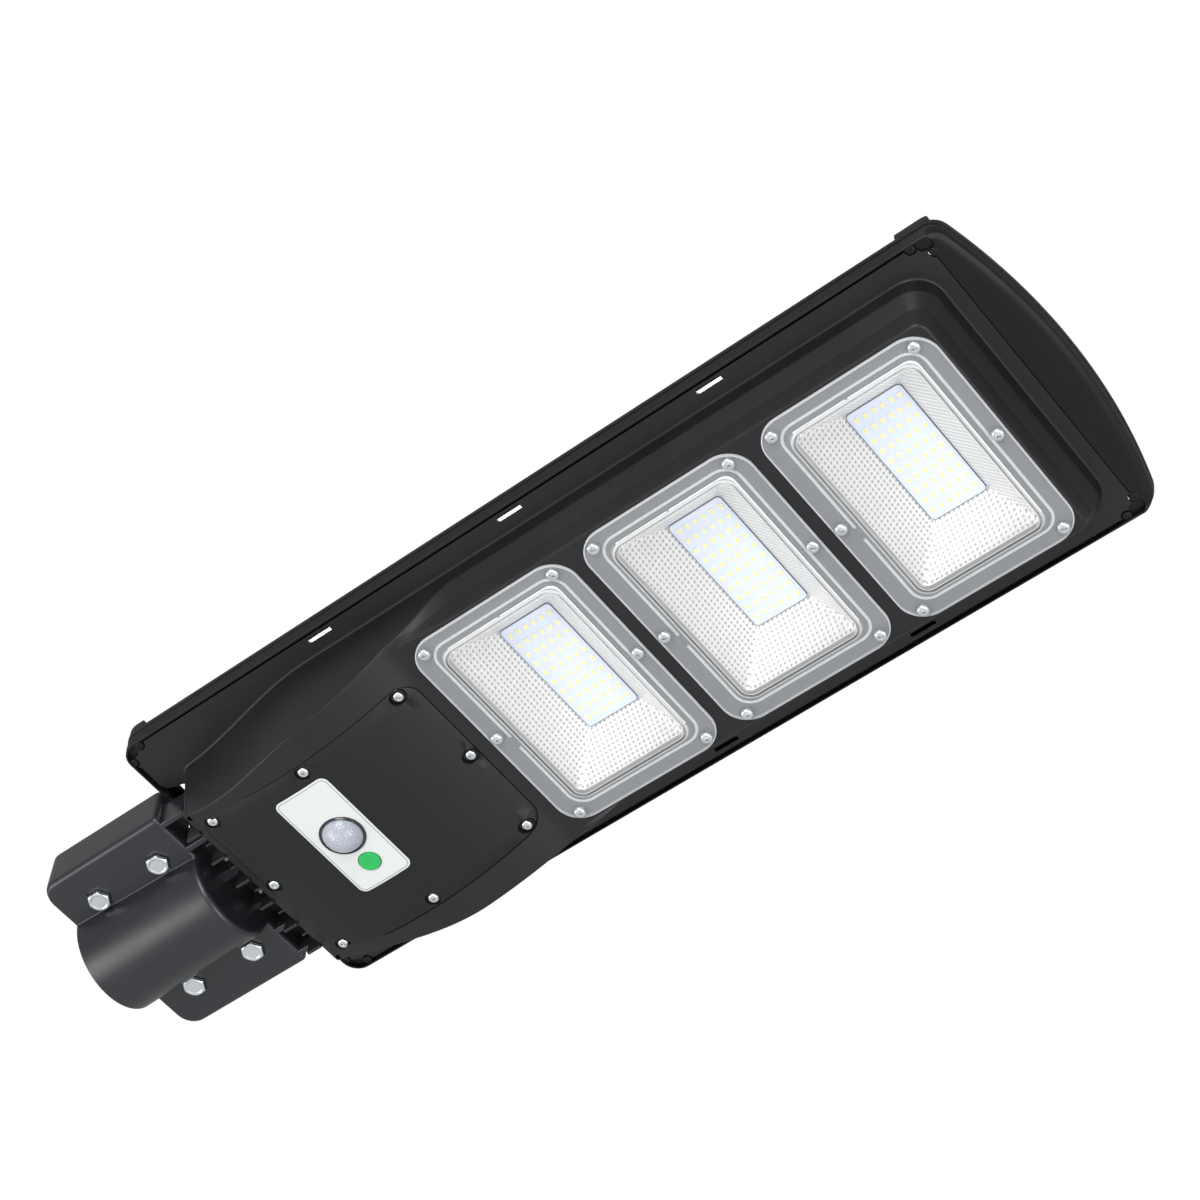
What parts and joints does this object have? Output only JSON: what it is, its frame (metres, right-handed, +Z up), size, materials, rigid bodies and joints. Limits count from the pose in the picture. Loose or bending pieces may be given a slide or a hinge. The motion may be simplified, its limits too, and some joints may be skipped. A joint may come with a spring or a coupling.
{
  "type": "solar street lamp head",
  "caption": "Solar street lamp head with pole clamp, three lamp modules under clear covers, a curved battery bay with motion sensor, and a solar panel on top.",
  "frame": {"origin": "mouth of the pole socket, on the pole's axis", "axes": "+X along the lamp from the pole socket to the nose, +Z up towards the solar panel, the lamp modules face -Z"},
  "size_m": [0.7119, 0.2204, 0.0806],
  "materials": {
    "frame_plastic": "satin moulded ABS",
    "housing_plastic": "fine moulded texture",
    "pad_rubber": "matt",
    "panel_glass": "clear tempered",
    "silicon": "dark blue cells",
    "backsheet": "white film",
    "black_sealant": "matt bead",
    "clear_cover": "clear moulded polycarbonate",
    "white_silicone": "soft",
    "reflector_film": "metallised, dimpled",
    "white_board": "white solder mask",
    "led_phosphor": "pale yellow resin",
    "zinc_steel": "bright zinc",
    "cast_black": "powder coat",
    "cover_plastic": "fine moulded texture",
    "gasket_rubber": "matt",
    "label_film": "printed film, blank",
    "lens_poly": "translucent, faceted",
    "ring_plastic": "smooth",
    "button_plastic": "translucent green",
    "green_board": "solder mask",
    "cell_wrap": "shrink film",
    "holder_plastic": "moulded",
    "tin_can": "bright tin",
    "switch_plastic": "moulded",
    "spring_steel": "bright wire",
    "wire_red": "PVC sleeve",
    "wire_black": "PVC sleeve",
    "wire_white": "PVC sleeve"
  },
  "bodies": {
    "lamp": {"top_frame": "frame_plastic", "corner_pads": "pad_rubber", "panel_glass": "panel_glass", "solar_cells": "silicon", "panel_backsheet": "backsheet", "panel_seal": "black_sealant", "junction_box": "holder_plastic", "lower_housing": "housing_plastic", "battery_cover": "cover_plastic", "battery_gasket": "gasket_rubber", "battery_cover_screws": "zinc_steel", "battery_cells": "cell_wrap", "battery_holder": "holder_plastic", "controller_board": "green_board", "sensor_board": "green_board", "pir_sensor": "tin_can", "pir_lens": "lens_poly", "pir_ring": "ring_plastic", "button_switch": "switch_plastic", "button_spring": "spring_steel", "panel_label": "label_film", "led_cover_screws": "zinc_steel", "led_board_screws": "zinc_steel", "bracket_body": "cast_black", "bracket_barrel": "cast_black", "bracket_sides": "cast_black", "bracket_ends": "cast_black", "clamp_bolts": "zinc_steel", "bracket_screws": "zinc_steel", "battery_leads": "wire_red", "led_leads": "wire_white", "panel_leads": "wire_black", "sensor_leads": "wire_white", "led_cover_1": "clear_cover", "cover_seal_1": "white_silicone", "reflector_1": "reflector_film", "led_board_1": "white_board", "led_chips_1": "led_phosphor", "led_cover_2": "clear_cover", "cover_seal_2": "white_silicone", "reflector_2": "reflector_film", "led_board_2": "white_board", "led_chips_2": "led_phosphor", "led_cover_3": "clear_cover", "cover_seal_3": "white_silicone", "reflector_3": "reflector_film", "led_board_3": "white_board", "led_chips_3": "led_phosphor"},
    "clamp": {"clamp_cap": "cast_black", "clamp_nuts": "zinc_steel", "clamp_washers": "zinc_steel"},
    "button": {"power_button": "button_plastic"}
  },
  "joints": [
    {"name": "clamp_lift", "type": "slide", "parent": "lamp", "child": "clamp", "axis": [0, 0, 1], "range_m": [0, 0.006]},
    {"name": "button_press", "type": "slide", "parent": "lamp", "child": "button", "axis": [0, 0, 1], "range_m": [0, 0.0015], "stiffness_N_per_m": 1200, "springref_m": -0.001}
  ]
}
